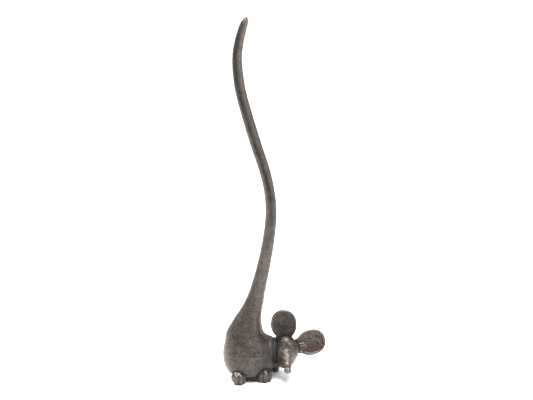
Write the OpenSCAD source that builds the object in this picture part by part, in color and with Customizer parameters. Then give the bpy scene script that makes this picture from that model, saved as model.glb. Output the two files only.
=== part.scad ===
// A small iron mouse that stands on four paws and holds its long tail upright in an S curve.
// Its body faces +X, its head is turned towards -Y, and +Z is up. All lengths are in mm.

/* [Body and tail] */
// Height from the ground to the tip of the tail
overall_height = 175; // [165:1:185]
// Half-width of the belly, seen from the side
belly_r = 12; // [11.5:0.1:12.5]
// Height of the belly's widest place
belly_z = 13.6; // [13.5:0.1:14.5]
// Drop from the belly's widest place to its underside
belly_drop = 12.4; // [12:0.1:13]
// Depth of the body and tail as a share of their width
depth_share = 0.96; // [0.9:0.01:1]

/* [Neck] */
// Radius of the collar at the front of the body
collar_r = 7; // [6.8:0.1:7.4]
// Rounding of the collar's edge
collar_round = 1.2; // [0.8:0.1:1.5]
// Radius of the seat that the head stands on, inside the gap
seat_r = 6.4; // [5:0.1:6.5]
// Width of the open gap between collar and head
neck_gap = 1.8; // [1.4:0.1:2.2]
// Radius of the neck's dowel
pin_r = 1.5; // [1.2:0.1:1.8]
// Length of the neck's dowel
pin_length = 10; // [8:1:12]

/* [Head] */
// Radius of the skull
skull_r = 5.3; // [5:0.1:5.6]
// Distance from the skull's centre to the centre of the nose
snout_length = 13.8; // [13:0.1:15]
// Radius of the muzzle, a little over halfway along the snout
muzzle_r = 3.7; // [3.4:0.1:3.9]
// Radius of the nose
nose_r = 1.75; // [1.5:0.05:2]
// Radius of the throat under the head
throat_r = 4.9; // [4.6:0.1:5]
// How far the head nods towards the ground
head_nod = 38.5; // [35:0.5:42]
// How far the head leans to its left
head_lean = 36.5; // [33:0.5:40]
// How far the head is turned back from square to the body
head_turn = 24; // [20:0.5:28]
// Radius of the ring that draws an eye
eye_r = 1.1; // [0.9:0.1:1.3]

/* [Ears] */
// Radius of an ear
ear_r = 5.9; // [5.5:0.1:6]
// Thickness of an ear at its rim
ear_thickness = 1.7; // [1.4:0.1:2]
// Width of the raised rim around an ear
ear_rim = 0.9; // [0.7:0.1:1.2]
// Depth of an ear's hollow
ear_cup = 0.8; // [0.5:0.1:1]

/* [Paws] */
// Radius of a hind heel
hind_heel_r = 3.6; // [3.4:0.1:3.7]
// Radius of a front heel
front_heel_r = 4.1; // [3.9:0.1:4.2]
// Radius of a toe
toe_r = 1.7; // [1.5:0.1:1.8]
// Radius of the round shank that fits into the body
shank_r = 2.4; // [2:0.1:2.5]

/* [Hidden] */

// Room between a peg and its hole
fit_gap = 0.03;
// Small overrun that keeps cuts clean
over = 0.5;
$fn = 64;

// The origin lies under the middle of the whole figure
to_origin = [0, 1.4, 0];

// Back and tail from the belly upwards: [forward place, height, half-width].
// Heights above the rump stretch with the overall height.
rump_z = 30;
drawn_height = 175;
// Both curves below are cut into short straight steps.
steps_per_span = 3;
bowl_rings = 8;
body_sides = 28;
spine = [
    [-12.5, belly_z, belly_r], [-12.9, 19, 10.8], [-13.8, 23.8, 8.8], [-12.5, rump_z, 6.5],
    [-10.3, 36, 4.95], [-7.9, 44, 3.8], [-4.7, 57.5, 3.2], [-2.3, 71.5, 2.85],
    [-1.5, 82, 2.7], [-2.2, 92, 2.6], [-4.5, 102.5, 2.7], [-8.8, 116, 2.75],
    [-12.9, 130, 2.65], [-15.9, 142, 2.55], [-17.1, 154, 2.3], [-16.5, 161.5, 2.2],
    [-15, 168, 2.05], [-13.8, 172, 1.75], [-13.1, 174.2, 0.9], [-12.9, drawn_height, 0.2]
];
belly_x = spine[0][0];

function stretched(z) = z <= rump_z ? z
    : rump_z + (z - rump_z) * (overall_height - rump_z) / (drawn_height - rump_z);

// A smooth curve through the points p: span i, share t of the way along it
function near_point(p, i) = p[max(0, min(len(p) - 1, i))];
function curve(p, i, t) =
    let (a = near_point(p, i - 1), b = p[i], c = near_point(p, i + 1), d = near_point(p, i + 2))
    b + t / 2 * (c - a + t * (2 * a - 5 * b + 4 * c - d + t * (3 * (b - c) + d - a)));

// The underside is a bowl a little squarer than half an ellipse, and the rest follows the spine
bowl_power = 2 / 2.8;
bowl = [
    for (k = [1 : bowl_rings - 1])
        let (a = 90 * k / bowl_rings)
        [belly_x, belly_z - belly_drop * pow(cos(a), bowl_power), belly_r * pow(sin(a), bowl_power)]
];
back = [
    for (i = [0 : len(spine) - 2], s = [0 : steps_per_span - 1])
        curve(spine, i, s / steps_per_span)
];
rings = concat(bowl, [for (r = back) [r[0], stretched(r[1]), r[2]]]);
tail_tip = spine[len(spine) - 1];

// A closed skin over level rings, with a pole below and a pole above
module skin(rings, low, high, sides) {
    points = concat([low], [
        for (r = rings, k = [0 : sides - 1])
            let (a = 360 * k / sides)
            [r[0] + r[2] * cos(a), r[2] * depth_share * sin(a), r[1]]
    ], [high]);
    top = len(rings) - 1;
    function at(ring, k) = 1 + ring * sides + (k % sides);
    faces = concat(
        [for (k = [0 : sides - 1]) [0, at(0, k), at(0, k + 1)]],
        [for (n = [0 : top - 1], k = [0 : sides - 1]) [at(n, k), at(n + 1, k), at(n + 1, k + 1)]],
        [for (n = [0 : top - 1], k = [0 : sides - 1]) [at(n, k), at(n + 1, k + 1), at(n, k + 1)]],
        [for (k = [0 : sides - 1]) [at(top, k), len(points) - 1, at(top, k + 1)]]
    );
    polyhedron(points, faces);
}

// The neck's axis runs along +X
neck_z = belly_z + 0.2;
collar_x = belly_x + belly_r;
head_x = collar_x + neck_gap;
collar_depth = 8;

module along_neck(x) {
    translate([x, 0, neck_z]) rotate([0, 90, 0]) children();
}

module pin_hole() {
    along_neck(head_x - pin_length / 2 - fit_gap)
        cylinder(r = pin_r + fit_gap, h = pin_length + 2 * fit_gap);
}

module collar() {
    along_neck(collar_x - collar_depth) rotate_extrude() {
        square([collar_r, collar_depth - collar_round]);
        square([collar_r - collar_round, collar_depth]);
        translate([collar_r - collar_round, collar_depth - collar_round]) circle(collar_round);
    }
    along_neck(collar_x - over) cylinder(r = seat_r, h = neck_gap + over);
}

// Each paw: the heel's middle, the place where its shank ends inside the body, the heel's
// radius, and the way its toes point, as an angle about +Z
right_hind = [[-17, -8.8], [-14, -2, 11], hind_heel_r, -60];
left_hind = [[-17, 8.2], [-14, 2, 11], hind_heel_r, 60];
right_front = [[-4.7, -5.2], [-6.5, -1.5, 11], front_heel_r, -75];
left_front = [[-0.8, 8.4], [-5, 2.5, 11], front_heel_r, 60];

// Angle between toes, and how far out they stand as a share of the heel's radius
toe_spread = 50;
toe_reach = 0.5;

// How much of a heel and of a toe the flat sole cuts away
heel_cut = 0.3;
toe_cut = 0.1;

function heel(paw) = [paw[0][0], paw[0][1], paw[2] - heel_cut];

// A round bar from point a to point b
module bar(a, b, r) {
    d = b - a;
    translate(a) rotate([0, acos(d[2] / norm(d)), atan2(d[1], d[0])]) cylinder(r = r, h = norm(d));
}

module shank(paw, gap = 0) {
    bar(heel(paw), paw[1], shank_r + gap);
    translate(heel(paw)) sphere(paw[2] + gap);
}

module below_ground() {
    translate([-belly_r * 3, -belly_r * 2, -belly_r]) cube(belly_r * [4, 4, 1]);
}

module paw(paw) {
    color("dimgray") difference() {
        union() {
            shank(paw);
            for (side = [-1 : 1])
                translate([paw[0][0], paw[0][1], toe_r - toe_cut])
                    rotate([0, 0, paw[3] + side * toe_spread])
                        translate([paw[2] * toe_reach, 0, 0]) sphere(toe_r);
        }
        below_ground();
    }
}

module body() {
    color("dimgray") difference() {
        union() {
            skin(rings, [belly_x, 0, belly_z - belly_drop],
                [tail_tip[0], 0, overall_height], body_sides);
            collar();
        }
        pin_hole();
        for (p = [right_hind, left_hind, right_front, left_front]) shank(p, fit_gap);
    }
}

// The head is drawn with its nose along -Y and its crown along +Z, then turned into place
skull_at = [6.6, -1.5, 15.4];
throat_at = [5, -3, 10.8];
cheek_r = 3.4;
cheek_at = [1.7, -3.8, -1];
muzzle_at = [0, -0.55 * snout_length, -0.4];
snout_end = [0, -snout_length + 0.6, 0];
nose_at = [0, -snout_length, 0.2];

// The face of the head's neck side: its edge is chamfered, then it narrows towards the skull
chamfer = 0.8;
neck_taper = 1.6;

module in_head() {
    translate(skull_at) rotate([head_nod, head_lean, head_turn]) children();
}

module head_solid() {
    rim_r = collar_r - chamfer / 2;
    hull($fn = 32) {
        in_head() sphere(skull_r);
        translate(throat_at) sphere(throat_r);
        along_neck(head_x) cylinder(r1 = rim_r - chamfer, r2 = rim_r, h = chamfer);
        along_neck(head_x + chamfer) cylinder(r1 = rim_r, r2 = rim_r - neck_taper, h = neck_taper);
    }
    in_head() {
        hull($fn = 32) {
            sphere(skull_r - chamfer);
            for (side = [-1, 1]) translate([side * cheek_at[0], cheek_at[1], cheek_at[2]]) sphere(cheek_r);
            translate(muzzle_at) sphere(muzzle_r);
        }
        hull($fn = 32) {
            translate(muzzle_at) sphere(muzzle_r);
            translate(snout_end) sphere(nose_r - 0.25);
        }
        translate(nose_at) sphere(nose_r);
    }
}

// An eye is a ring cut into the skull, to the side of the face and a little above its middle
eye_side = 57;
eye_up = 17;
eye_line_r = 0.35;

module eye_ring(side) {
    in_head() rotate([0, 0, side * eye_side]) rotate([90 - eye_up, 0, 0])
        translate([0, 0, skull_r + 0.05])
            rotate_extrude() translate([eye_r, 0]) circle(eye_line_r, $fn = 16);
}

// Each ear: its middle, its turn in its own plane, its turn about +Z and its backward tilt
right_ear_place = [[4.6, -2.2, 28.8], -2, -8, 8];
left_ear_place = [[18.8, 0.4, 18.1], 76, 8, 8];
root_drop = 5.6;
root_r = 2.3;
root_half = 2.6;

// A tongue on the root holds the ear in the head
tongue_drop = 7.6;
tongue_r = 1.6;

module ear_frame(place) {
    translate(place[0]) rotate([-place[3], 0, place[2]]) rotate([0, place[1], 0]) children();
}

// The ear's plate faces -Y, with its root below
module ear_plate(place) {
    ear_frame(place) rotate([90, 0, 0]) translate([0, 0, -ear_thickness / 2]) hull($fn = 32) {
        cylinder(r = ear_r, h = ear_thickness);
        for (side = [-1, 1])
            translate([side * root_half, -root_drop, 0]) cylinder(r = root_r, h = ear_thickness);
        translate([0, -tongue_drop, 0]) cylinder(r = tongue_r, h = ear_thickness);
    }
}

module ear(place) {
    cup_r = ear_r - ear_rim;
    cup_sphere_r = (cup_r * cup_r + ear_cup * ear_cup) / (2 * ear_cup);
    color("dimgray") difference() {
        ear_plate(place);
        ear_frame(place) translate([0, -ear_thickness / 2 - cup_sphere_r + ear_cup, 0])
            sphere(cup_sphere_r, $fn = 96);
    }
}

module head() {
    color("gray") difference() {
        head_solid();
        ear_plate(right_ear_place);
        ear_plate(left_ear_place);
        for (side = [-1, 1]) eye_ring(side);
        pin_hole();
    }
}

module right_ear() { ear(right_ear_place); }
module left_ear() { ear(left_ear_place); }
module neck_pin() {
    color("silver") along_neck(head_x - pin_length / 2) cylinder(r = pin_r, h = pin_length);
}
module right_front_paw() { paw(right_front); }
module left_front_paw() { paw(left_front); }
module right_hind_paw() { paw(right_hind); }
module left_hind_paw() { paw(left_hind); }

translate(to_origin) body();
translate(to_origin) head();
translate(to_origin) right_ear();
translate(to_origin) left_ear();
translate(to_origin) neck_pin();
translate(to_origin) right_front_paw();
translate(to_origin) left_front_paw();
translate(to_origin) right_hind_paw();
translate(to_origin) left_hind_paw();
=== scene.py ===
import math
from collections import namedtuple

import bmesh
import bpy
import numpy as np
from mathutils import Euler, Matrix, Vector, noise


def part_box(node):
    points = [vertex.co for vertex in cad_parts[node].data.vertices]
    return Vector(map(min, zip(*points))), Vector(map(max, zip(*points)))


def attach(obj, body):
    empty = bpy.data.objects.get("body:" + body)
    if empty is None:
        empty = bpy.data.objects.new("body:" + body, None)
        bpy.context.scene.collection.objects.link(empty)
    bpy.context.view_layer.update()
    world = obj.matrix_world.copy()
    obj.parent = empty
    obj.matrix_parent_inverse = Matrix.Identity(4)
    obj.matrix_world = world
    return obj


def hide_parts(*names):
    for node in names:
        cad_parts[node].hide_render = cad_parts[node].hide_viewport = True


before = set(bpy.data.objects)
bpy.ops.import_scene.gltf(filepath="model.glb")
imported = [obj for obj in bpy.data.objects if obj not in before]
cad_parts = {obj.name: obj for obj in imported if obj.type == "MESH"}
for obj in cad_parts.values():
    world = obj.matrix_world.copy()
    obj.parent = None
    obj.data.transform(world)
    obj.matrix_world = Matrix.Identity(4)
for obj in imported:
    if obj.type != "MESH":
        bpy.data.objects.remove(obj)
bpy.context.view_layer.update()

# ---------------------------------------------------------------------------------------
# Measures, in millimetres, in the CAD model's drawing frame: the body faces +X, the head is
# turned towards -Y, and +Z is up. The body node's box says where the middle plane lies.
MM = 0.001
body_low, body_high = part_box("body")
ORIGIN = np.array([0.0, (body_low[1] + body_high[1]) / 2 / MM, 0.0])

# The belly: its middle, its radius, the drop to its underside and how square that bowl is
BELLY_X, BELLY_Z = -12.5, 13.6
BELLY_R, BELLY_DROP = 12.0, 12.4
BOWL_POWER = 2.8
# Depth of the body and tail as a share of their width
DEPTH_SHARE = 0.96

# Back and tail from the belly up: (forward place, height, half-width)
SPINE = [
    (-12.5, 13.6, 12), (-12.9, 19, 10.8), (-13.8, 23.8, 8.8), (-12.5, 30, 6.5),
    (-10.3, 36, 4.95), (-7.9, 44, 3.8), (-4.7, 57.5, 3.2), (-2.3, 71.5, 2.85),
    (-1.5, 82, 2.7), (-2.2, 92, 2.6), (-4.5, 102.5, 2.7), (-8.8, 116, 2.75),
    (-12.9, 130, 2.65), (-15.9, 142, 2.55), (-17.1, 154, 2.3), (-16.5, 161.5, 2.2),
    (-15, 168, 2.05), (-13.8, 172, 1.75), (-13.1, 174.2, 0.9), (-12.9, 174.95, 0.1),
]

# The swellings over the left legs: (middle, radii, width of the fillet round it)
HAUNCH = ((-14.8, 4.8, 8.6), (6, 5, 5.6), 2.5)
SHOULDER = ((-3.6, 3.6, 9.6), (3.4, 3.4, 5), 2.4)

# The neck: its axis, the collar's ends and radius, the seat's, and where the head starts
NECK_Z = 13.8
COLLAR_BACK_X, COLLAR_X, COLLAR_R = -8, -0.5, 7.0
SEAT_BACK_X, SEAT_R = -4, 6.4
HEAD_X = 1.3

# Balls that make up the head, in the drawing frame
SKULL, SKULL_R = np.array([6.6, -1.5, 15.4]), 5.3
THROAT, THROAT_R = np.array([5, -3, 10.8]), 4.85
CROWN, CROWN_R = np.array([5.7, -2.3, 18.3]), 4.1
NAPE_LOW, NAPE_LOW_R = np.array([HEAD_X + 1.6, 0, NECK_Z]), COLLAR_R - 0.5
NAPE_HIGH, NAPE_HIGH_R = SKULL + [0, 0.4, -1.4], SKULL_R - 0.6

# The head's own frame has its origin in the skull's middle, the nose along -Y and the crown
# along +Z. The turns about X, Y and Z, in degrees, set that frame in the drawing frame.
HEAD_TURN = (38.5, 36.5, 24)
SNOUT = 13.8
CHEEK, CHEEK_R = np.array([1.7, -3.8, -1.0]), 3.4
SNOUT_ROOT, SNOUT_ROOT_R = np.array([0, -3.5, -0.2]), 4.3
MUZZLE, MUZZLE_R = np.array([0, -0.54 * SNOUT, -0.4]), 3.05
NOSE, NOSE_R = np.array([0, -SNOUT, 0.2]), 1.75
NOSE_BACK, NOSE_BACK_R = NOSE + [0, 0.6, -0.2], 1.4

# An ear's outline: a squarish egg and, below it, the round tongue that the head holds. Heights
# run along the ear from its middle.
EAR_R, EAR_HALF_HEIGHT = 6.2, 6.9
EAR_DROP = 1.0
EAR_POWER = 2.2
EAR_ROOT, EAR_TONGUE_R = 6.8, 3.8
# An ear's section: half the plate's thickness, the cup's depth, how far the plate lies behind
# the ear's plane, and the rim's width, its round edge's radius and how far that lies in front
EAR_HALF_THICK, EAR_CUP, EAR_BACK = 0.5, 0.7, 0.2
RIM_WIDTH, RIM_R, RIM_FRONT = 0.8, 0.5, 0.15

# An ear's spin in its own plane, its turn about +Z and its backward tilt are in degrees. Its
# painted light scales the tone of the same iron: the right ear is darkened as painted shade, the
# left ear lightened as painted light. Its stain is the place of a rusty patch in its own plane.
Ear = namedtuple("Ear", "middle spin way tilt lightness stain")
EARS = {
    "right_ear": Ear((4.6, -2.2, 28.8), -2, -8, 8, 0.7, (0, -5.8)),
    "left_ear": Ear((18.8, 0.4, 18.1), 76, 8, 8, 1.5, (3.4, -0.6)),
}
STAIN_R = 4.2

# A paw has the heel's place on the ground plan, the heel's radius, the way that its toes point,
# in degrees about +Z, and the place in the body that its leg grows from.
Paw = namedtuple("Paw", "place r way root")
PAWS = {
    "right_hind_paw": Paw((-17, -8.8), 3.6, -60, (-15.5, -4.5, 9.0)),
    "left_hind_paw": Paw((-17, 8.2), 3.6, 60, (-15.5, 4.5, 9.0)),
    "right_front_paw": Paw((-4.7, -5.2), 4.1, -75, (-5.4, -3.4, 9.5)),
    "left_front_paw": Paw((-0.8, 8.4), 4.1, 60, (-3.0, 4.5, 10.0)),
}
LEG_R = 2.6
KNUCKLE_R = 1.35
TOE_R = 1.7
TOE_SPREAD = 50
TOE_REACH = 0.5
SOLE_Z = 0.02


# ---------------------------------------------------------------------------------------
# Fields: each takes points (n, 3) in millimetres and gives about the distance to a surface,
# below 0 inside.
def blend(a, b, k):
    """The union of two fields, with a fillet about k wide."""
    h = np.clip(0.5 + 0.5 * (b - a) / k, 0, 1)
    return b * (1 - h) + a * h - k * h * (1 - h)


def both(a, b, k):
    """What lies inside both fields, with an edge rounded by about k."""
    return -blend(-a, -b, k)


def ball(p, centre, r):
    """A sphere."""
    return np.linalg.norm(p - np.array(centre, float), axis=1) - r


def egg(p, centre, radii):
    """An ellipsoid."""
    radii = np.array(radii, float)
    q = np.linalg.norm((p - centre) / radii, axis=1)
    g = np.linalg.norm((p - centre) / radii**2, axis=1) + 1e-9
    return q * (q - 1) / g


def bar(p, a, b, ra, rb):
    """A round bar from a to b, whose radius goes from ra to rb."""
    a, b = np.array(a, float), np.array(b, float)
    t = np.clip((p - a) @ (b - a) / ((b - a) @ (b - a)), 0, 1)
    return np.linalg.norm(p - a - t[:, None] * (b - a), axis=1) - ra - t * (rb - ra)


def disc(p, x0, x1, r, rounding):
    """A short cylinder along X about the neck's axis."""
    across = np.hypot(p[:, 1], p[:, 2] - NECK_Z) - r + rounding
    along = np.abs(p[:, 0] - (x0 + x1) / 2) - (x1 - x0) / 2 + rounding
    outside = np.hypot(np.maximum(across, 0), np.maximum(along, 0))
    return outside + np.minimum(np.maximum(across, along), 0) - rounding


def spine_table(steps=12):
    """The spine as a smooth curve: columns of height, forward place and half-width."""
    p = np.array(SPINE, float)
    rows = []
    for i in range(len(p) - 1):
        a, b, c, d = p[max(i - 1, 0)], p[i], p[i + 1], p[min(i + 2, len(p) - 1)]
        for t in np.arange(steps) / steps:
            bend = 2 * a - 5 * b + 4 * c - d + t * (3 * (b - c) + d - a)
            rows.append(b + t / 2 * (c - a + t * bend))
    rows.append(p[-1])
    rows = np.array(rows)
    return rows[:, 1], rows[:, 0], rows[:, 2]


SPINE_Z, SPINE_X, SPINE_R = spine_table()
SPINE_LEAN = np.gradient(SPINE_X, SPINE_Z)


def spine_at(z):
    """The spine's forward place and half-width at a height."""
    return np.interp(z, SPINE_Z, SPINE_X), np.interp(z, SPINE_Z, SPINE_R)


def pear(p):
    """Belly, back and tail."""
    z = p[:, 2]
    x, r = spine_at(z)
    lean = np.interp(z, SPINE_Z, SPINE_LEAN)
    above = np.maximum(z - SPINE_Z[-1], 0)
    out = np.hypot(p[:, 0] - x, p[:, 1] / DEPTH_SHARE)
    upper = (out - r + above) / np.sqrt(1 + lean**2)
    low = np.abs(np.minimum(z - BELLY_Z, 0)) / BELLY_DROP
    q = ((out / BELLY_R) ** BOWL_POWER + low**BOWL_POWER) ** (1 / BOWL_POWER)
    return np.where(z < BELLY_Z, (q - 1) * BELLY_R, upper)


def body_field(p):
    """The pear with its collar, haunches and shoulders, and the seat that the head stands on."""
    f = blend(pear(p), disc(p, COLLAR_BACK_X, COLLAR_X, COLLAR_R, 1.1), 2.6)
    for side in (-1, 1):
        for (x, y, z), radii, fillet in (HAUNCH, SHOULDER):
            f = blend(f, egg(p, (x, side * y, z), radii), fillet)
    return blend(f, disc(p, SEAT_BACK_X, HEAD_X + 0.4, SEAT_R, 0.2), 0.4)


def heel_of(paw):
    """The heel's middle."""
    return np.array([*paw.place, paw.r - 0.3])


def toes_of(paw):
    """Each toe's middle, and the level direction that it points in."""
    places = []
    for side in (-1, 0, 1):
        a = math.radians(paw.way + side * TOE_SPREAD)
        out = np.array([math.cos(a), math.sin(a), 0])
        places.append((np.array([*paw.place, TOE_R - 0.05]) + out * paw.r * TOE_REACH, out))
    return places


def knuckles_of(paw):
    """Where each toe starts, high on the heel."""
    heel = heel_of(paw)
    return [heel + out * (paw.r - 1.2) + np.array([0, 0, 0.9]) for _, out in toes_of(paw)]


def paw_field(p, paw):
    """A heel with its leg and three toes, cut off flat at the ground."""
    heel = heel_of(paw)
    f = blend(ball(p, heel, paw.r - 0.25), bar(p, heel, paw.root, paw.r - 0.8, LEG_R), 1.2)
    for (toe, _), knuckle in zip(toes_of(paw), knuckles_of(paw)):
        f = blend(f, bar(p, toe, knuckle, TOE_R - 0.1, KNUCKLE_R), 0.35)
    return both(f, SOLE_Z - p[:, 2], 0.5)


HEAD_AXES = np.array(Euler([math.radians(d) for d in HEAD_TURN]).to_matrix())


def in_head(p):
    """Points of the drawing frame in the head's own frame."""
    return (p - SKULL) @ HEAD_AXES


def from_head(q):
    """A point of the head's own frame in the drawing frame."""
    return np.array(q, float) @ HEAD_AXES.T + SKULL


def head_field(p):
    """The skull with everything that grows out of it, cut off flat at the neck."""
    q = in_head(p)
    parts_and_fillets = [
        (ball(q, CHEEK * [-1, 1, 1], CHEEK_R), 1.5),
        (ball(q, CHEEK, CHEEK_R), 1.5),
        (bar(q, SNOUT_ROOT, MUZZLE, SNOUT_ROOT_R, MUZZLE_R), 1.2),
        (bar(q, MUZZLE, NOSE_BACK, MUZZLE_R, NOSE_BACK_R), 0.8),
        (ball(q, NOSE, NOSE_R), 0.5),
        (bar(p, NAPE_LOW, NAPE_HIGH, NAPE_LOW_R, NAPE_HIGH_R), 1.6),
        (ball(p, THROAT, THROAT_R), 1.2),
        (ball(p, CROWN, CROWN_R), 1.2),
    ]
    f = ball(q, (0, 0, 0), SKULL_R)
    for part, fillet in parts_and_fillets:
        f = blend(f, part, fillet)
    return both(f, HEAD_X - p[:, 0], 0.7)


def ear_axes(ear):
    """An ear's own axes as columns: front along -Y, root along -Z."""
    upright = Euler((math.radians(-ear.tilt), 0, math.radians(ear.way))).to_matrix()
    return np.array(upright @ Euler((0, math.radians(ear.spin), 0)).to_matrix())


def in_ear(p, ear):
    """Points of the drawing frame in an ear's own frame."""
    return (p - np.array(ear.middle)) @ ear_axes(ear)


def ear_outline(q):
    """About the distance to the ear's outline, in the ear's own plane."""
    side, up = np.abs(q[:, 0]) / EAR_R, np.abs(q[:, 2] + EAR_DROP) / EAR_HALF_HEIGHT
    egg_shape = ((side**EAR_POWER + up**EAR_POWER) ** (1 / EAR_POWER) - 1) * EAR_R
    tongue = np.hypot(q[:, 0], q[:, 2] + EAR_ROOT) - EAR_TONGUE_R
    return blend(egg_shape, tongue, 0.6)


def ear_field(p, ear):
    """A thin cupped plate with a round rim."""
    q = in_ear(p, ear)
    edge = ear_outline(q)
    inward = np.clip(-edge / (EAR_R - RIM_WIDTH), 0, 1)
    middle = q[:, 1] - EAR_BACK - EAR_CUP * inward**0.8
    plate = both(np.abs(middle) - EAR_HALF_THICK, edge + 0.1, 0.4)
    rim = np.hypot(edge + RIM_R, q[:, 1] + RIM_FRONT) - RIM_R
    return blend(plate, rim, 0.4)


FIELDS = {"body": body_field, "head": head_field}
FIELDS.update({node: lambda p, ear=ear: ear_field(p, ear) for node, ear in EARS.items()})
FIELDS.update({node: lambda p, paw=paw: paw_field(p, paw) for node, paw in PAWS.items()})


# ---------------------------------------------------------------------------------------
# Meshes: rough balls are fused, laid onto a field's surface and then worked like metal.
BODY_GRAIN, SMALL_GRAIN = 0.34, 0.2


def fused(name, balls, grain):
    """One closed skin round all the balls, with faces about grain wide."""
    bm = bmesh.new()
    for centre, r in balls:
        place = Matrix.Translation(Vector(centre)) @ Matrix.Scale(r, 4)
        bmesh.ops.create_icosphere(bm, subdivisions=2, radius=1, matrix=place)
    mesh = bpy.data.meshes.new(name)
    bm.to_mesh(mesh)
    bm.free()
    rough = bpy.data.objects.new(name, mesh)
    bpy.context.scene.collection.objects.link(rough)
    remesh = rough.modifiers.new("Fuse", "REMESH")
    remesh.mode = "VOXEL"
    remesh.voxel_size = grain
    graph = bpy.context.evaluated_depsgraph_get()
    skin = bpy.data.meshes.new_from_object(rough.evaluated_get(graph))
    bpy.data.objects.remove(rough)
    bpy.data.meshes.remove(mesh)
    skin.name = name
    return skin


def chain(points, radii, spacing=0.5):
    """Balls along a broken line, close enough to fuse."""
    balls = []
    points = [np.array(p, float) for p in points]
    for a, b, ra, rb in zip(points, points[1:], radii, radii[1:]):
        n = max(1, int(np.linalg.norm(b - a) / (spacing * min(ra, rb))))
        balls += [(a + (b - a) * k / n, ra + (rb - ra) * k / n) for k in range(n)]
    return balls + [(points[-1], radii[-1])]


def ring(x, reach, r, count):
    """Balls in a ring about the neck's axis."""
    turns = [math.tau * k / count for k in range(count)]
    return [((x, reach * math.cos(a), NECK_Z + reach * math.sin(a)), r) for a in turns]


def get_points(mesh):
    """The vertices' places, one row each."""
    flat = np.empty(len(mesh.vertices) * 3)
    mesh.vertices.foreach_get("co", flat)
    return flat.reshape(-1, 3)


def set_points(mesh, points):
    """Moves the vertices to new places."""
    mesh.vertices.foreach_set("co", np.ascontiguousarray(points).ravel())
    mesh.update()


def get_edges(mesh):
    """The two vertices of each edge, one row each."""
    flat = np.empty(len(mesh.edges) * 2, int)
    mesh.edges.foreach_get("vertices", flat)
    return flat.reshape(-1, 2)


def get_normals(mesh):
    """The vertices' normals, one row each."""
    flat = np.empty(len(mesh.vertices) * 3)
    mesh.vertex_normals.foreach_get("vector", flat)
    return flat.reshape(-1, 3)


def neighbour_mean(values, edges):
    """The mean over each vertex's neighbours, for values of any width."""
    total = np.zeros_like(values)
    count = np.zeros(len(values))
    for here, there in ((0, 1), (1, 0)):
        np.add.at(total, edges[:, here], values[edges[:, there]])
        np.add.at(count, edges[:, here], 1)
    count = np.maximum(count, 1)
    return total / (count[:, None] if values.ndim > 1 else count)


def slope_of(field, p, step=0.02):
    """The field's gradient at p."""
    return np.stack(
        [(field(p + d) - field(p - d)) / (2 * step) for d in np.eye(3) * step], axis=1
    )


def lay_on(mesh, field, rounds=5, longest=1.2, evening=0.6):
    """Moves a skin onto the field's surface, and evens its faces out on the way."""
    edges = get_edges(mesh)
    p = get_points(mesh)
    for k in range(rounds):
        g = slope_of(field, p)
        length2 = np.maximum((g * g).sum(1), 0.2)
        step = field(p)[:, None] * g / length2[:, None]
        size = np.linalg.norm(step, axis=1, keepdims=True)
        p = p - step * np.minimum(1, longest / np.maximum(size, 1e-9))
        if k < rounds - 2:
            n = g / np.linalg.norm(g, axis=1, keepdims=True)
            drift = neighbour_mean(p, edges) - p
            p = p + evening * (drift - (drift * n).sum(1, keepdims=True) * n)
    set_points(mesh, p)


def push(mesh, amount):
    """Moves every vertex out along its normal by its own amount, in millimetres."""
    set_points(mesh, get_points(mesh) + get_normals(mesh) * amount[:, None])


def fall_off(distance, reach):
    """1 at distance 0, smoothly down to 0 at reach."""
    t = np.clip(1 - distance / reach, 0, 1)
    return t * t * (3 - 2 * t)


def mound(q, place, height, reach):
    """A round mound on the skin: that high at its place and level again at reach."""
    return height * fall_off(np.linalg.norm(q - place, axis=1), reach)


def grit(points, scale, seed):
    """Smooth noise from -1 to 1 with lumps about scale millimetres wide."""
    shift = Vector((seed * 17.3, seed * 5.1, seed * 9.7))
    return np.array([noise.noise(Vector(p) / scale + shift) for p in points])


def pits(points, scale, seed, share):
    """Round pits about scale apart: 1 in a pit's middle and 0 away from pits."""
    shift = Vector((seed * 3.7, seed * 11.9, seed * 2.3))
    near = np.array([noise.voronoi(Vector(p) / scale + shift)[0][0] for p in points])
    return fall_off(near, share)


# How high the coarse and the fine grit stand, and how deep the pits are
BODY_SAND = (0.05, 0.035, 0.06)
SMALL_SAND = (0.03, 0.025, 0.04)


def cast_skin(mesh, sand):
    """The unevenness that sand leaves on a casting."""
    coarse, fine, depth = sand
    p = get_points(mesh)
    amount = coarse * grit(p, 3.2, 1) + fine * grit(p, 0.9, 2)
    amount -= depth * pits(p, 1.7, 3, 0.3)
    push(mesh, amount)


# ---------------------------------------------------------------------------------------
# Marks: numbers from 0 to 1 on the vertices, which the material reads. Painted shade, with some
# dirt, spreads over one piece from where another meets it, a faint halo of painted shade lies
# round every piece, and more painted shade, for the contact shadow, lies by the ground.
# Reaches in millimetres of the painted shade and dirt where pieces meet, wider for some pairs; the
# halo of painted shade round every piece and its share; the painted contact shade by the ground
# and its share
CREVICE_SHADE_REACH = 1.3
WIDE_REACH = {
    ("body", "head"): 6.5, ("right_ear", "head"): 5.5, ("right_front_paw", "body"): 2.2,
}
HALO_REACH, HALO_SHADE = 8.0, 0.45
GROUND_REACH, GROUND_SHADE = 2.8, 0.8

# How often the bulges are smoothed, and the percentile that counts as fully worn or hidden
BULGE_ROUNDS, BULGE_PERCENTILE = 6, 97


def shade_and_dirt_at(p, node):
    """Painted shade and dirt: 1 where a piece nearly touches another piece or the ground, and less
    in the open.
    """
    shade_and_dirt = GROUND_SHADE * fall_off(p[:, 2], GROUND_REACH)
    for other, field in FIELDS.items():
        if other != node:
            gap = np.maximum(field(p), 0)
            crevice = fall_off(gap, WIDE_REACH.get((node, other), CREVICE_SHADE_REACH))
            halo = HALO_SHADE * np.clip(1 - gap / HALO_REACH, 0, 1)
            shade_and_dirt = np.maximum(shade_and_dirt, np.maximum(crevice, halo))
    return shade_and_dirt


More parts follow.
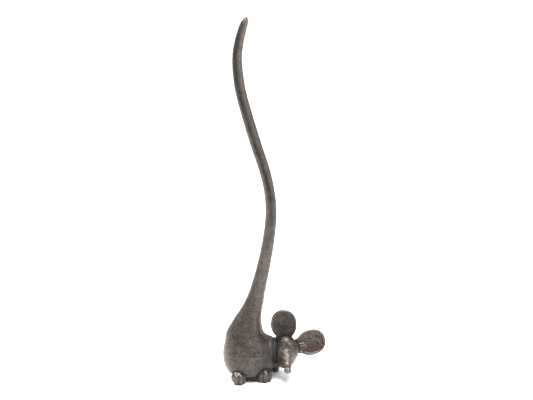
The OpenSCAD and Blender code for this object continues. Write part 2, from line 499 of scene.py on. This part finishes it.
def add_mark(mesh, name, values):
    """Writes one number per vertex under a name."""
    mark = mesh.attributes.new(name, "FLOAT", "POINT")
    mark.data.foreach_set("value", np.clip(values, 0, 1).astype(np.float32))


def add_common_marks(mesh, node):
    """Writes how worn and hidden each vertex is, and how much painted shade, with some dirt, it
    gets.
    """
    edges, p, n = get_edges(mesh), get_points(mesh), get_normals(mesh)
    bulge = ((p - neighbour_mean(p, edges)) * n).sum(1)
    for _ in range(BULGE_ROUNDS):
        bulge = neighbour_mean(bulge, edges)
    size = np.percentile(np.abs(bulge), BULGE_PERCENTILE) + 1e-9
    add_mark(mesh, "worn", bulge / size)
    add_mark(mesh, "hidden", -bulge / size)
    # The mark of painted shade, with some dirt where pieces meet
    add_mark(mesh, "shade_and_dirt", shade_and_dirt_at(p, node))


def finish_piece(mesh, node, material):
    """Puts a finished skin in place of a CAD node."""
    add_common_marks(mesh, node)
    set_points(mesh, (get_points(mesh) + ORIGIN) * MM)
    mesh.polygons.foreach_set("use_smooth", np.ones(len(mesh.polygons), bool))
    piece = bpy.data.objects.new("cast_" + node, mesh)
    bpy.context.scene.collection.objects.link(piece)
    mesh.materials.clear()
    mesh.materials.append(material)
    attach(piece, "root")
    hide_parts(node)


# ---------------------------------------------------------------------------------------
# Materials
def new_material(name):
    """A new material, its node tree and its shader."""
    material = bpy.data.materials.new(name)
    material.use_nodes = True
    tree = material.node_tree
    return material, tree, tree.nodes["Principled BSDF"]


def add_node(tree, kind, **settings):
    """A new node with some of its own settings changed."""
    made = tree.nodes.new(kind)
    for name, value in settings.items():
        setattr(made, name, value)
    return made


def feed(tree, socket, value):
    """Links an input to another node's output, or sets it to a number or a colour."""
    if hasattr(value, "links"):
        tree.links.new(value, socket)
    else:
        socket.default_value = (*value, 1) if isinstance(value, tuple) else value


def object_coords(tree):
    """Places on the piece, in metres."""
    return add_node(tree, "ShaderNodeTexCoord").outputs["Object"]


def mark_node(tree, name):
    """A mark's value, which is 0 on a piece without that mark."""
    return add_node(tree, "ShaderNodeAttribute", attribute_name=name).outputs["Fac"]


def noise_node(tree, coords, scale, detail, rough):
    """Noise with about scale lumps per metre."""
    made = add_node(tree, "ShaderNodeTexNoise")
    made.inputs["Scale"].default_value = scale
    made.inputs["Detail"].default_value = detail
    made.inputs["Roughness"].default_value = rough
    tree.links.new(coords, made.inputs["Vector"])
    return made.outputs["Fac"]


def ramp_node(tree, value, stops):
    """Turns a number into a colour, through stops of (place, colour)."""
    made = add_node(tree, "ShaderNodeValToRGB")
    for element, (place, colour) in zip(made.color_ramp.elements, stops):
        element.position = place
        element.color = (*colour, 1)
    tree.links.new(value, made.inputs["Fac"])
    return made.outputs["Color"]


# A mix node has sockets for every kind of data. These are the ones for colours.
MIX_SHARE, MIX_A, MIX_B, MIX_RESULT = 0, 6, 7, 2


def mix_colours(tree, share, a, b, mode="MIX"):
    """Colour a with that share of colour b mixed in."""
    made = add_node(tree, "ShaderNodeMix", data_type="RGBA", blend_type=mode)
    for socket, value in ((MIX_SHARE, share), (MIX_A, a), (MIX_B, b)):
        feed(tree, made.inputs[socket], value)
    return made.outputs[MIX_RESULT]


def span_node(tree, value, source, target):
    """Maps one span of numbers onto another, and holds still beyond its ends."""
    made = add_node(tree, "ShaderNodeMapRange", interpolation_type="SMOOTHSTEP")
    for name, number in zip(("From Min", "From Max", "To Min", "To Max"), source + target):
        made.inputs[name].default_value = number
    tree.links.new(value, made.inputs["Value"])
    return made.outputs[0]


def arithmetic(tree, operation, a, b):
    """One operation on two numbers."""
    made = add_node(tree, "ShaderNodeMath", operation=operation)
    feed(tree, made.inputs[0], a)
    feed(tree, made.inputs[1], b)
    return made.outputs[0]


def grey(level):
    """A colour without hue."""
    return (level, level, level)


# Noise in the iron's skin: (lumps per metre, detail, roughness)
GRAIN = (1500, 2, 0.6)
LUMPS = (420, 3, 0.6)
CLOUDS = (70, 3, 0.55)
GRAIN_SHARE = 0.72

# The skin at its darkest and at its lightest, what lies on it, and the painted shade: (colour,
# full share)
IRON_DARK = (0.008, 0.006, 0.005)
IRON_LIGHT = (0.059, 0.045, 0.036)
RUBBED = ((0.2, 0.18, 0.165), 0.3)
HOLLOW = ((0.05, 0.026, 0.016), 0.7)
RUST = ((0.045, 0.02, 0.012), 0.75)
# Near-black painted shade, with some dirt where pieces meet
SHADE_DIRT_TONE = ((0.004, 0.003, 0.002), 0.97)

# Roughness of the open skin from its roughest to its smoothest, where rubbed, and under the
# painted shade and dirt
OPEN_ROUGH, SMOOTH_ROUGH = 0.48, 0.33
RUBBED_ROUGH, RUBBED_ROUGH_SHARE = 0.24, 0.5
SHADE_DIRT_ROUGH = 0.8
IRON_METALLIC = 0.5
IRON_SPECULAR = 0.5
BUMP_STRENGTH, BUMP_METRES = 0.75, 0.00025


def iron_shade_and_dirt(tree, lumps):
    """Painted shade with some dirt where the piece meets others, and a speckled dark band along
    the casting seam that is partly painted shade for the tail's dark core.
    """
    speckle = ramp_node(tree, lumps, [(0.42, grey(1)), (0.6, grey(0.8))])
    seam_shade = arithmetic(tree, "MULTIPLY", mark_node(tree, "seam"), speckle)
    return arithmetic(tree, "MAXIMUM", mark_node(tree, "shade_and_dirt"), seam_shade)


def iron_colour(tree, height, clouds, shade_and_dirt, patchiness, lightness):
    """The skin's own tone scaled by the painted light, with rubbed, brown and rusty places over it
    in turn, and last the painted shade with some dirt.
    """
    # The tone is scaled by the painted light: lit and shaded copies of the same iron
    dark, light = [tuple(c * lightness for c in tone) for tone in (IRON_DARK, IRON_LIGHT)]
    skin = ramp_node(tree, height, [(0.41, dark), (0.6, light)])
    cloudy = ramp_node(tree, clouds, [(0.3, grey(0.78)), (0.7, grey(1.15))])
    skin = mix_colours(tree, 1.0, skin, cloudy, "MULTIPLY")
    rubbed = arithmetic(tree, "MULTIPLY", mark_node(tree, "worn"), RUBBED[1])
    patches = ramp_node(tree, clouds, [(0.5, grey(0)), (0.68, grey(1))])
    brown = arithmetic(tree, "MAXIMUM", arithmetic(tree, "MULTIPLY", patches, patchiness),
                       arithmetic(tree, "MULTIPLY", mark_node(tree, "hidden"), HOLLOW[1]))
    rusty = arithmetic(tree, "MULTIPLY", mark_node(tree, "rusty"), RUST[1])
    # The last mix paints near-black shade, with some dirt, over the skin
    shade_share = arithmetic(tree, "MULTIPLY", shade_and_dirt, SHADE_DIRT_TONE[1])
    for share, (colour, _) in ((rubbed, RUBBED), (brown, HOLLOW), (rusty, RUST), (shade_share, SHADE_DIRT_TONE)):
        skin = mix_colours(tree, share, skin, colour)
    return skin


def iron_roughness(tree, lumps, shade_and_dirt, gloss):
    """Uneven, smoother where it is rubbed and dull under the painted shade and dirt."""
    ends = [(0.3, grey(OPEN_ROUGH * gloss)), (0.7, grey(SMOOTH_ROUGH * gloss))]
    rubbed = arithmetic(tree, "MULTIPLY", mark_node(tree, "worn"), RUBBED_ROUGH_SHARE)
    rough = mix_colours(tree, rubbed, ramp_node(tree, lumps, ends), grey(RUBBED_ROUGH * gloss))
    return mix_colours(tree, arithmetic(tree, "POWER", shade_and_dirt, 3), rough, grey(SHADE_DIRT_ROUGH))


def iron(name, patchiness=0.4, lightness=1.0, gloss=1.0):
    """Dark sand-cast iron. A gloss below 1 makes it smoother, and the painted light scales its
    tone to paint light or shade onto the same iron.
    """
    material, tree, shader = new_material(name)
    coords = object_coords(tree)
    grain, lumps, clouds = [noise_node(tree, coords, *n) for n in (GRAIN, LUMPS, CLOUDS)]
    height = arithmetic(tree, "ADD", arithmetic(tree, "MULTIPLY", grain, GRAIN_SHARE),
                        arithmetic(tree, "MULTIPLY", lumps, 1 - GRAIN_SHARE))
    shade_and_dirt = iron_shade_and_dirt(tree, lumps)
    colour = iron_colour(tree, height, clouds, shade_and_dirt, patchiness, lightness)
    tree.links.new(colour, shader.inputs["Base Color"])
    tree.links.new(iron_roughness(tree, lumps, shade_and_dirt, gloss), shader.inputs["Roughness"])
    shader.inputs["Metallic"].default_value = IRON_METALLIC
    shader.inputs["Specular IOR Level"].default_value = IRON_SPECULAR

    bump = add_node(tree, "ShaderNodeBump")
    bump.inputs["Strength"].default_value = BUMP_STRENGTH
    bump.inputs["Distance"].default_value = BUMP_METRES
    tree.links.new(height, bump.inputs["Height"])
    tree.links.new(bump.outputs["Normal"], shader.inputs["Normal"])
    return material


def steel(name):
    """Plain steel with a fine uneven sheen."""
    material, tree, shader = new_material(name)
    mottle = noise_node(tree, object_coords(tree), 900, 2, 0.5)
    colour = ramp_node(tree, mottle, [(0.3, grey(0.42)), (0.7, grey(0.6))])
    tree.links.new(colour, shader.inputs["Base Color"])
    rough = ramp_node(tree, mottle, [(0.3, grey(0.28)), (0.7, grey(0.4))])
    tree.links.new(rough, shader.inputs["Roughness"])
    shader.inputs["Metallic"].default_value = 1.0
    return material


# ---------------------------------------------------------------------------------------
# The body. Its casting seam runs up the tail: where it starts, how far above that it is full,
# its half-width, the height at which it crosses the tail's middle, and how far it drifts
# aside for each millimetre of height. Then the pits in it: depth, spacing and share.
# The seam's strip also carries a speckled band of painted shade, for the tail's dark core, over
# the seam's own pits.
SEAM_START, SEAM_RISE = 60, 30
SEAM_HALF_WIDTH = 2.3
SEAM_CROSSING, SEAM_DRIFT = 95, 0.018
SEAM_DEPTH, SEAM_PIT_SPACING, SEAM_PIT_SHARE = 0.16, 1.5, 0.42
# Specks of flash on the tail's +X edge: (height above the ground, size, reach)
FLASH = [(45.2, 0.45, 1.0), (41.0, 0.35, 1.6), (38.4, 0.4, 1.2)]


def seam_at(p):
    """1 along the casting seam up the tail's -Y side, and 0 away from it."""
    z = p[:, 2]
    middle = spine_at(z)[0] + SEAM_DRIFT * (SEAM_CROSSING - z)
    strip = fall_off(np.abs(p[:, 0] - middle), SEAM_HALF_WIDTH) * (p[:, 1] < 0)
    return strip * np.clip((z - SEAM_START) / SEAM_RISE, 0, 1)


def rough_seam(mesh):
    """Pits along the seam, and the specks of flash, which are flattened in depth."""
    p = get_points(mesh)
    amount = -SEAM_DEPTH * seam_at(p) * pits(p, SEAM_PIT_SPACING, 7, SEAM_PIT_SHARE)
    for z, size, reach in FLASH:
        x, r = spine_at(z)
        away = np.linalg.norm((p - np.array([x + r, 0, z])) / [1, 0.6, 1], axis=1)
        amount += size * fall_off(away, reach)
    push(mesh, amount)


def body_balls():
    """A rough body: one big ball, balls up the spine, and rings for the collar and seat."""
    balls = [((BELLY_X, 0, BELLY_Z), BELLY_R - 0.6)]
    for z in np.arange(BELLY_Z, SPINE_Z[-1] - 1.5, 0.7):
        x, r = spine_at(z)
        balls.append(((x, 0, z), r * 0.97))
    balls += chain([(-6, 0, NECK_Z), (-4.4, 0, NECK_Z)], [7, 6.4])
    balls += ring(-3.2, 4.5, 2.4, 18)
    balls += ring(-0.2, 4.4, 1.9, 18)
    return balls + [((COLLAR_X, 0, NECK_Z), 2.2)]


def make_body():
    """Body, tail and collar in one casting."""
    mesh = fused("cast_body", body_balls(), BODY_GRAIN)
    lay_on(mesh, body_field)
    cast_skin(mesh, BODY_SAND)
    rough_seam(mesh)
    # The seam's mark, which the material turns into a speckled band of painted shade along the
    # pitted seam
    add_mark(mesh, "seam", seam_at(get_points(mesh)))
    finish_piece(mesh, "body", iron("body_iron"))


# ---------------------------------------------------------------------------------------
# Paws. A groove between two toes: its depth and its half-width.
GROOVE_DEPTH, GROOVE_HALF_WIDTH = 0.4, 0.8
PAW_GLOSS = 0.6


def groove_toes(mesh, paw):
    """Deepens the two grooves between the toes."""
    x, y = paw.place
    p = get_points(mesh)
    out = np.hypot(p[:, 0] - x, p[:, 1] - y)
    turn = np.degrees(np.arctan2(p[:, 1] - y, p[:, 0] - x)) - paw.way
    turn = (turn + 180) % 360 - 180
    aside = np.radians(np.abs(np.abs(turn) - TOE_SPREAD / 2)) * out
    low = fall_off(np.maximum(p[:, 2] - paw.r, 0), 2.0)
    outer = np.clip(2 * out / paw.r - 0.8, 0, 1)
    push(mesh, -GROOVE_DEPTH * fall_off(aside, GROOVE_HALF_WIDTH) * low * outer)


def flatten_sole(mesh):
    """Keeps a paw out of the ground."""
    p = get_points(mesh)
    p[:, 2] = np.maximum(p[:, 2], 0.0)
    set_points(mesh, p)


def make_paw(node, paw):
    """One paw with the leg that goes into the body."""
    balls = chain([heel_of(paw), paw.root], [paw.r - 0.2, LEG_R - 0.2])
    balls += [(toe, TOE_R * 0.95) for toe, _ in toes_of(paw)]
    balls += [(knuckle, KNUCKLE_R + 0.05) for knuckle in knuckles_of(paw)]
    mesh = fused("cast_" + node, balls, SMALL_GRAIN)
    lay_on(mesh, FIELDS[node])
    cast_skin(mesh, SMALL_SAND)
    groove_toes(mesh, paw)
    flatten_sole(mesh)
    finish_piece(mesh, node, iron(node + "_iron", gloss=PAW_GLOSS))


# ---------------------------------------------------------------------------------------
# The head. Places on the face are in the head's own frame, for the mouse's left side. An eye
# lies in a direction from the skull's middle, aside and up from the nose in degrees.
EYE_SIDE, EYE_UP = math.radians(57), math.radians(17)
EYE = 5.4 * np.array([
    math.sin(EYE_SIDE) * math.cos(EYE_UP), -math.cos(EYE_SIDE) * math.cos(EYE_UP), math.sin(EYE_UP)
])
EYE_R = 1.1
EYE_RING_DEPTH, EYE_RING_HALF_WIDTH = 0.5, 0.5
BROW = np.array([2.3, -2.3, 4.3])
NOSTRIL = np.array([0.75, -SNOUT - 1.2, 1.1])
# Each mound's height and reach
EYE_MOUND, BROW_MOUND, NOSTRIL_MOUND = (0.25, 2.4), (0.5, 2.0), (0.2, 0.9)
# The line down the bridge of the nose: where it runs, its depth and half-width, its middle,
# and how far from there it is full and gone
BRIDGE_X, BRIDGE_DEPTH, BRIDGE_HALF_WIDTH = 0.15, 0.35, 0.45
BRIDGE_Y, BRIDGE_FULL, BRIDGE_GONE = -0.55 * SNOUT, 2.5, 5.2
# The crease behind the nose: its place, depth and half-width
CREASE_Y, CREASE_DEPTH, CREASE_HALF_WIDTH = 1.7 - SNOUT, 0.25, 0.6
# The head's brown patchiness, and its tone scaled up 1.7 times as painted light on the same iron
HEAD_PATCHINESS, HEAD_PAINTED_LIGHT = 0.15, 1.7


def bridge_fade(q):
    """1 on top of the muzzle, fading out at the forehead, the nose and the sides."""
    beyond = np.abs(q[:, 1] - BRIDGE_Y) - BRIDGE_FULL
    return fall_off(beyond, BRIDGE_GONE - BRIDGE_FULL) * (q[:, 2] > 0)


def carve_face(mesh):
    """Eyes as rings with a dot, a brow, a line down the bridge of the nose, and nostrils."""
    q = in_head(get_points(mesh))
    amount = np.zeros(len(q))
    for side in (-1, 1):
        mirror = np.array([side, 1, 1])
        from_eye = np.linalg.norm(q - EYE * mirror, axis=1)
        amount += mound(q, EYE * mirror, *EYE_MOUND)
        amount -= EYE_RING_DEPTH * fall_off(np.abs(from_eye - EYE_R), EYE_RING_HALF_WIDTH)
        amount += mound(q, BROW * mirror, *BROW_MOUND)
        amount += mound(q, NOSTRIL * mirror, *NOSTRIL_MOUND)
    line = fall_off(np.abs(q[:, 0] - BRIDGE_X), BRIDGE_HALF_WIDTH)
    amount -= BRIDGE_DEPTH * line * bridge_fade(q)
    amount -= CREASE_DEPTH * fall_off(np.abs(q[:, 1] - CREASE_Y), CREASE_HALF_WIDTH)
    push(mesh, amount)


def head_balls():
    """A rough head: its three big balls, the snout, the nape and a ring at the neck."""
    balls = [(SKULL, SKULL_R - 0.2), (THROAT, THROAT_R - 0.2), (CROWN, CROWN_R - 0.2)]
    balls += chain([from_head((0, -3.5, -0.3)), from_head(MUZZLE), from_head(NOSE)],
                   [4.6, MUZZLE_R, 1.6])
    balls += chain([(HEAD_X + 3.4, 0, NECK_Z), SKULL], [4.6, 5.0])
    return balls + ring(HEAD_X + 2.1, 4.4, 1.9, 15)


def make_head():
    """Skull, snout and nose in one casting."""
    mesh = fused("cast_head", head_balls(), SMALL_GRAIN)
    lay_on(mesh, head_field)
    cast_skin(mesh, SMALL_SAND)
    carve_face(mesh)
    # The head's iron is lightened as painted light
    finish_piece(mesh, "head", iron("head_iron", HEAD_PATCHINESS, HEAD_PAINTED_LIGHT))


# ---------------------------------------------------------------------------------------
# Ears. A ridge of two crests runs out of each root: their distance from the middle, height,
# half-width and length. Beside it lie two hollows: their place, depth and reach.
CREST_X, CREST_HEIGHT, CREST_HALF_WIDTH, CREST_LENGTH = 0.55, 0.45, 0.6, 5.0
HOLLOW_X, HOLLOW_Z, HOLLOW_DEPTH, HOLLOW_REACH = 2.6, -5.2, 0.35, 2.2
# The balls of a rough ear: their spacing, radius and place behind the ear's plane
EAR_BALL_STEP, EAR_BALL_R, EAR_BALL_Y = 0.75, 0.85, 0.45


def fold_ear(mesh, ear):
    """A ridge that runs out of the root, between two hollows, on the ear's front."""
    q = in_ear(get_points(mesh), ear)
    n = get_normals(mesh) @ ear_axes(ear)
    front = np.clip(-n[:, 1], 0, 1)
    low = fall_off(np.abs(q[:, 2] + EAR_ROOT), CREST_LENGTH)
    crests = fall_off(np.abs(np.abs(q[:, 0]) - CREST_X), CREST_HALF_WIDTH)
    amount = CREST_HEIGHT * crests * low
    for side in (-1, 1):
        away = np.hypot(q[:, 0] - side * HOLLOW_X, q[:, 2] - HOLLOW_Z)
        amount -= HOLLOW_DEPTH * fall_off(away, HOLLOW_REACH)
    push(mesh, amount * front)


def stain_ear(mesh, ear):
    """Marks the ear's rusty patch."""
    q = in_ear(get_points(mesh), ear)
    x, z = ear.stain
    add_mark(mesh, "rusty", fall_off(np.hypot(q[:, 0] - x, q[:, 2] - z), STAIN_R))


def ear_balls(ear):
    """A rough ear: a sheet of balls that covers the outline."""
    balls = []
    axes = ear_axes(ear)
    for u in np.arange(-EAR_R, EAR_R + 0.1, EAR_BALL_STEP):
        for w in np.arange(-EAR_ROOT - EAR_TONGUE_R, EAR_HALF_HEIGHT, EAR_BALL_STEP):
            q = np.array([[u, EAR_BALL_Y, w]])
            if ear_outline(q)[0] < 0:
                balls.append((axes @ q[0] + ear.middle, EAR_BALL_R))
    return balls


def make_ear(node, ear):
    """One ear with the tongue that goes into the head."""
    mesh = fused("cast_" + node, ear_balls(ear), SMALL_GRAIN)
    lay_on(mesh, FIELDS[node])
    cast_skin(mesh, SMALL_SAND)
    fold_ear(mesh, ear)
    stain_ear(mesh, ear)
    # Each ear's iron tone is scaled as painted light on the left ear and painted shade on the
    # right
    finish_piece(mesh, node, iron(node + "_iron", lightness=ear.lightness))


def dress_pin():
    """Gives the neck pin, which keeps its CAD shape, a steel material."""
    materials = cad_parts["neck_pin"].data.materials
    materials.clear()
    materials.append(steel("pin_steel"))


make_body()
make_head()
for node, ear in EARS.items():
    make_ear(node, ear)
for node, paw in PAWS.items():
    make_paw(node, paw)
dress_pin()


# ---------------------------------------------------------------------------------------
# Camera, floor and light, in metres, with the front at -Y. The camera looks down by
# VIEW_RAISED degrees, and VIEW_WIDTH is what it sees across at its distance.
VIEW_RAISED = 15
VIEW_DISTANCE = 0.9
VIEW_WIDTH = 0.2562
AIM_ASIDE = -0.0036
AIM_UP = 0.0853
SENSOR_MM = 36

FLOOR_HALF = 6.0
FLOOR_COLOUR = (0.86, 0.85, 0.84, 1)
FLOOR_ROUGH = 0.7

# The light tent's strength by where it is: at the front, at the back, and added overhead. The
# spans are the directions' own Y and Z between which it changes.
TENT_FRONT, TENT_BACK, TENT_BACK_SPAN = 0.1, 0.9, (-0.4, 0.5)
TENT_TOP, TENT_TOP_SPAN = 1.3, (0.3, 0.95)

# Soft boxes: name, place, what it faces, size, watts and colour
SOFT_BOXES = [
    ("overhead", (0.06, -0.28, 0.6), (0, 0, 0.03), (0.3, 0.25), 9, (0.94, 0.97, 1)),
    ("left_window", (-0.4, 0.1, 0.55), (0, 0, 0.03), (0.3, 0.3), 6.5, (1, 1, 1)),
    ("right_fill", (0.6, -0.35, 0.3), (0, 0, 0.08), (0.2, 0.6), 2, (1, 1, 1)),
]


def make_camera():
    """A long lens on the -Y side, a little above the mouse."""
    e = math.radians(VIEW_RAISED)
    back = Vector((0, -math.cos(e), math.sin(e)))
    up = Vector((0, math.sin(e), math.cos(e)))
    aim = Vector((AIM_ASIDE, ORIGIN[1] * MM, 0)) + up * AIM_UP
    camera = bpy.data.objects.new("camera", bpy.data.cameras.new("camera"))
    camera.data.sensor_width = SENSOR_MM
    camera.data.lens = SENSOR_MM * VIEW_DISTANCE / VIEW_WIDTH
    camera.data.clip_start = 0.01
    camera.location = aim + back * VIEW_DISTANCE
    camera.rotation_euler = (-back).to_track_quat("-Z", "Y").to_euler()
    bpy.context.scene.collection.objects.link(camera)
    bpy.context.scene.camera = camera


def make_floor():
    """A plain white floor."""
    mesh = bpy.data.meshes.new("floor")
    signs = ((-1, -1), (1, -1), (1, 1), (-1, 1))
    corners = [(x * FLOOR_HALF, y * FLOOR_HALF, 0) for x, y in signs]
    mesh.from_pydata(corners, [], [(0, 1, 2, 3)])
    floor = bpy.data.objects.new("floor", mesh)
    bpy.context.scene.collection.objects.link(floor)
    material, _, shader = new_material("floor_white")
    shader.inputs["Base Color"].default_value = FLOOR_COLOUR
    shader.inputs["Roughness"].default_value = FLOOR_ROUGH
    mesh.materials.append(material)


def soft_box(name, place, aim, size, power, colour):
    """A rectangular light that faces a point."""
    data = bpy.data.lights.new(name, "AREA")
    data.shape = "RECTANGLE"
    data.size, data.size_y = size
    data.energy = power
    data.color = colour
    light = bpy.data.objects.new(name, data)
    light.location = place
    light.rotation_euler = (Vector(aim) - Vector(place)).to_track_quat("-Z", "Y").to_euler()
    bpy.context.scene.collection.objects.link(light)


def make_world():
    """A light tent: dim towards the front, bright behind and above."""
    world = bpy.data.worlds.new("studio")
    bpy.context.scene.world = world
    world.use_nodes = True
    tree = world.node_tree
    background = tree.nodes["Background"]
    facing = add_node(tree, "ShaderNodeTexCoord").outputs["Generated"]
    split = add_node(tree, "ShaderNodeSeparateXYZ")
    tree.links.new(facing, split.inputs[0])
    behind = span_node(tree, split.outputs["Y"], TENT_BACK_SPAN, (TENT_FRONT, TENT_BACK))
    above = span_node(tree, split.outputs["Z"], TENT_TOP_SPAN, (0, TENT_TOP))
    tree.links.new(arithmetic(tree, "ADD", behind, above), background.inputs["Strength"])
    background.inputs["Color"].default_value = (1, 1, 1, 1)


make_camera()
make_floor()
make_world()
for box in SOFT_BOXES:
    soft_box(*box)
bpy.context.scene.view_settings.view_transform = "Standard"
